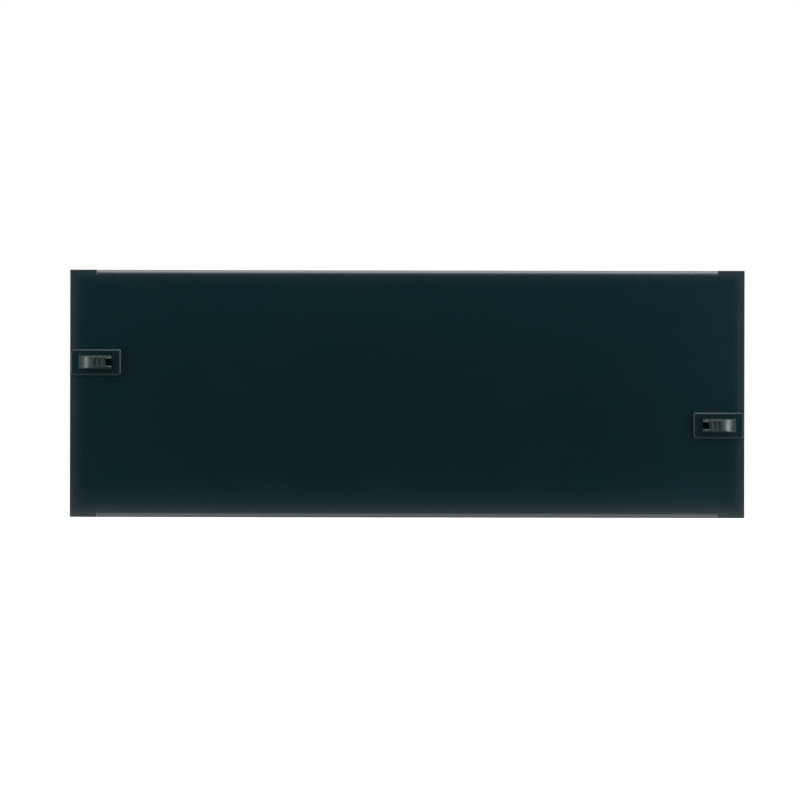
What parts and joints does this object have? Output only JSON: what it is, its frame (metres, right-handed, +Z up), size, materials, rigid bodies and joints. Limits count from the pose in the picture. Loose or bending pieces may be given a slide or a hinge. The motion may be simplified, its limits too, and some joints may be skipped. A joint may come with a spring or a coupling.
{
  "type": "rack blanking panel",
  "caption": "Folded steel panel that covers an empty rack space, held by sprung plastic slide latches that hook into the rails' square holes with no tools.",
  "frame": {"origin": "centre of the panel on the plane of its back face, which lies on the fronts of the two rack rails", "axes": "+X along the panel's length to the viewer's right, +Z up, +Y back into the rack; the panel faces -Y"},
  "size_m": [0.4826, 0.0199, 0.177],
  "materials": {
    "coated_steel": "satin powder coat, very dark blue-green black",
    "housing_plastic": "moulded black plastic, fine satin texture",
    "slide_plastic": "moulded black plastic, smoother than the housing",
    "spring_steel": "bright drawn wire"
  },
  "bodies": {
    "panel": {"panel": "coated_steel", "left_latch_housing": "housing_plastic", "right_latch_housing": "housing_plastic", "left_latch_spring": "spring_steel", "right_latch_spring": "spring_steel"},
    "left_slide": {"left_latch_slide": "slide_plastic"},
    "right_slide": {"right_latch_slide": "slide_plastic"}
  },
  "joints": [
    {"name": "left_latch_travel", "type": "slide", "parent": "panel", "child": "left_slide", "axis": [1, 0, 0], "range_m": [0, 0.0038], "stiffness_N_per_m": 500, "springref_m": -0.004, "deforming": ["left_latch_spring"]},
    {"name": "right_latch_travel", "type": "slide", "parent": "panel", "child": "right_slide", "axis": [-1, 0, 0], "range_m": [0, 0.0038], "stiffness_N_per_m": 500, "springref_m": -0.004, "deforming": ["right_latch_spring"]}
  ]
}
